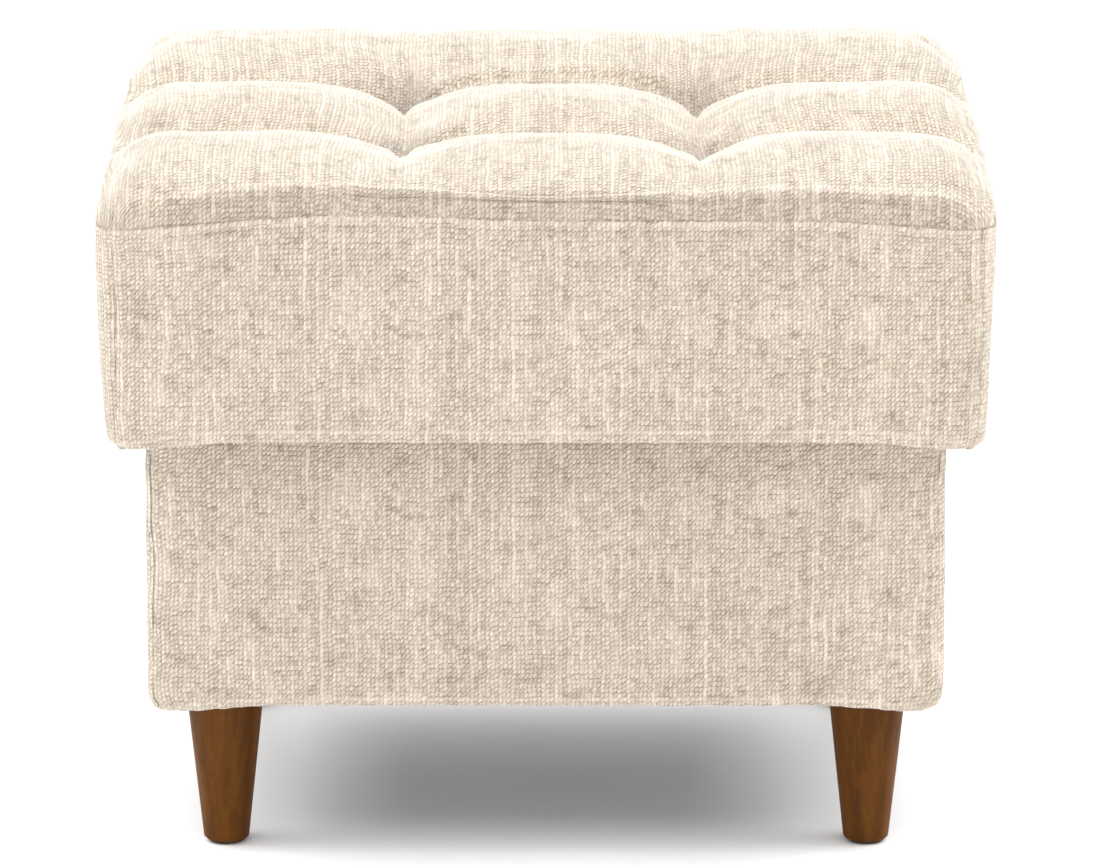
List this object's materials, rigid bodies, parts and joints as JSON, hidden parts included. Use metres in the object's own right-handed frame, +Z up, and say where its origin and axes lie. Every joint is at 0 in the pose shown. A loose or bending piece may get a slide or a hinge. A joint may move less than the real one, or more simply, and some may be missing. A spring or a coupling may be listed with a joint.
{
  "type": "pouf",
  "caption": "Upholstered pouf with a tufted lift-off seat, a storage space in its base and turned wooden legs.",
  "frame": {"origin": "on the floor under the middle of the pouf", "axes": "+X to the right along the longer side, +Y to the back, +Z up"},
  "size_m": [0.56, 0.467, 0.4604],
  "materials": {
    "seat_cloth": "cream chenille weave",
    "base_cloth": "cream chenille weave",
    "leg_wood": "walnut stain with satin lacquer",
    "pine": "planed and unfinished",
    "plywood": "sanded and unfinished",
    "foam": "open-cell upholstery foam",
    "wadding": "white polyester wadding",
    "lining": "thin non-woven lining",
    "dark_cloth": "black non-woven cloth",
    "twine": "waxed tufting twine",
    "steel": "zinc-plated",
    "felt": "pressed felt"
  },
  "bodies": {
    "base": {"base_front_panel": "pine", "base_back_panel": "pine", "base_left_panel": "pine", "base_right_panel": "pine", "panel_screws": "steel", "floor_board": "plywood", "front_cleat": "pine", "back_cleat": "pine", "front_left_block": "pine", "front_right_block": "pine", "rear_left_block": "pine", "rear_right_block": "pine", "tee_nuts": "steel", "hanger_bolts": "steel", "base_wadding": "wadding", "base_cover_front": "base_cloth", "base_cover_back": "base_cloth", "base_cover_left": "base_cloth", "base_cover_right": "base_cloth", "compartment_lining": "lining", "dust_cover": "dark_cloth", "base_staples": "steel", "front_left_leg": "leg_wood", "front_right_leg": "leg_wood", "rear_left_leg": "leg_wood", "rear_right_leg": "leg_wood", "foot_glides": "felt"},
    "seat": {"seat_top_panel": "seat_cloth", "seat_border_front": "seat_cloth", "seat_border_back": "seat_cloth", "seat_border_left": "seat_cloth", "seat_border_right": "seat_cloth", "quilt_pad": "foam", "seat_foam": "foam", "seat_wadding": "wadding", "seat_board": "plywood", "tuft_twines": "twine", "tuft_washers": "steel", "underside_cloth": "dark_cloth", "seat_staples": "steel", "front_batten": "pine", "back_batten": "pine", "left_batten": "pine", "right_batten": "pine", "batten_screws": "steel"}
  },
  "joints": [
    {"name": "seat_lift", "type": "slide", "parent": "base", "child": "seat", "axis": [0, 0, 1], "range_m": [0, 0.25]}
  ]
}
